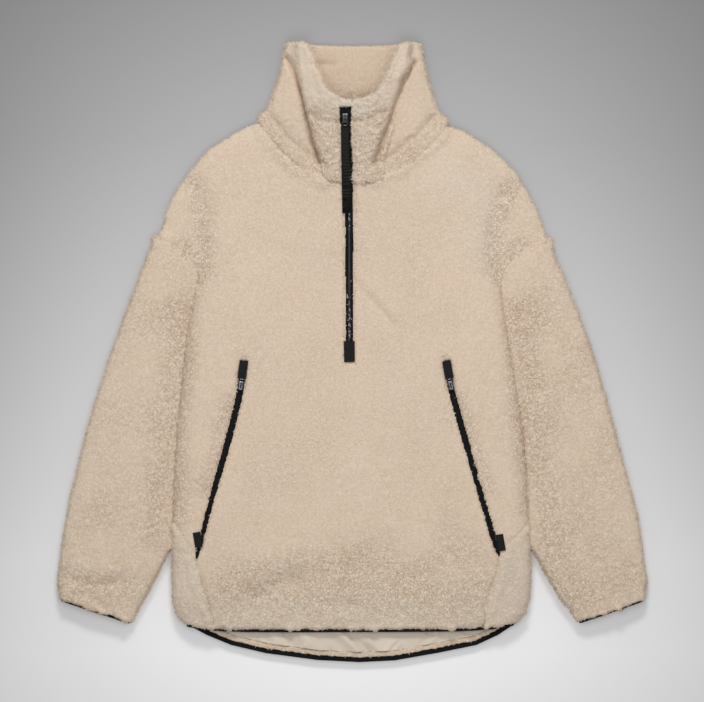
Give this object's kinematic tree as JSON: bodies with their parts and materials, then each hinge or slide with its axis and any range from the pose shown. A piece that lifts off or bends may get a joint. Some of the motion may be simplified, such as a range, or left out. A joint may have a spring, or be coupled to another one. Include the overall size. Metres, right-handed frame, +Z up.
{
  "type": "sherpa fleece half zip pullover, laid flat",
  "caption": "Deep pile fleece pullover laid flat, front up, with a tall zipped collar, half zip, slanted zip pockets, black bindings and a back hem that drops below the front.",
  "frame": {"origin": "middle of the garment's outline, on the surface it lies on", "axes": "+Z up out of the front, +Y towards the collar, +X towards the viewer's right"},
  "size_m": [0.823, 0.865, 0.0499],
  "materials": {
    "fleece": "deep curled pile, matt",
    "lining": "smooth, slightly satin",
    "black_tape": "matt woven tape",
    "gunmetal": "dark plated metal"
  },
  "bodies": {
    "garment": {"front": "fleece", "back": "fleece", "side_gore_left": "fleece", "side_gore_right": "fleece", "sleeve_left": "fleece", "sleeve_right": "fleece", "collar": "fleece", "tucked_side_left": "fleece", "tucked_side_right": "fleece", "back_fleece_edge": "fleece", "back_lining": "lining", "cuff_binding_left": "black_tape", "cuff_binding_right": "black_tape", "back_hem_binding": "black_tape", "front_hem_binding": "black_tape", "half_zip_tape": "black_tape", "pocket_zip_left_tape": "black_tape", "pocket_zip_right_tape": "black_tape", "half_zip_end_tab": "black_tape", "pocket_zip_left_end_tab": "black_tape", "pocket_zip_right_end_tab": "black_tape", "half_zip_slider": "gunmetal", "pocket_zip_left_slider": "gunmetal", "pocket_zip_right_slider": "gunmetal"},
    "half_zip_pull": {"half_zip_pull_loop": "gunmetal", "half_zip_webbing": "black_tape"},
    "pocket_pull_left": {"pocket_zip_left_pull_loop": "gunmetal", "pocket_zip_left_pull_tab": "black_tape"},
    "pocket_pull_right": {"pocket_zip_right_pull_loop": "gunmetal", "pocket_zip_right_pull_tab": "black_tape"}
  },
  "joints": [
    {"name": "half_zip_pull_hinge", "type": "hinge", "parent": "garment", "child": "half_zip_pull", "pos_m": [-0.0096, 0.327, 0.04739], "axis": [-1, 0, 0], "range_deg": [0, 160]},
    {"name": "pocket_pull_left_hinge", "type": "hinge", "parent": "garment", "child": "pocket_pull_left", "pos_m": [-0.15514, -0.0457, 0.03483], "axis": [0.9917, -0.1289, 0], "range_deg": [0, 160]},
    {"name": "pocket_pull_right_hinge", "type": "hinge", "parent": "garment", "child": "pocket_pull_right", "pos_m": [0.1378, -0.04544, 0.03374], "axis": [0.9846, 0.175, 0], "range_deg": [0, 160]}
  ]
}
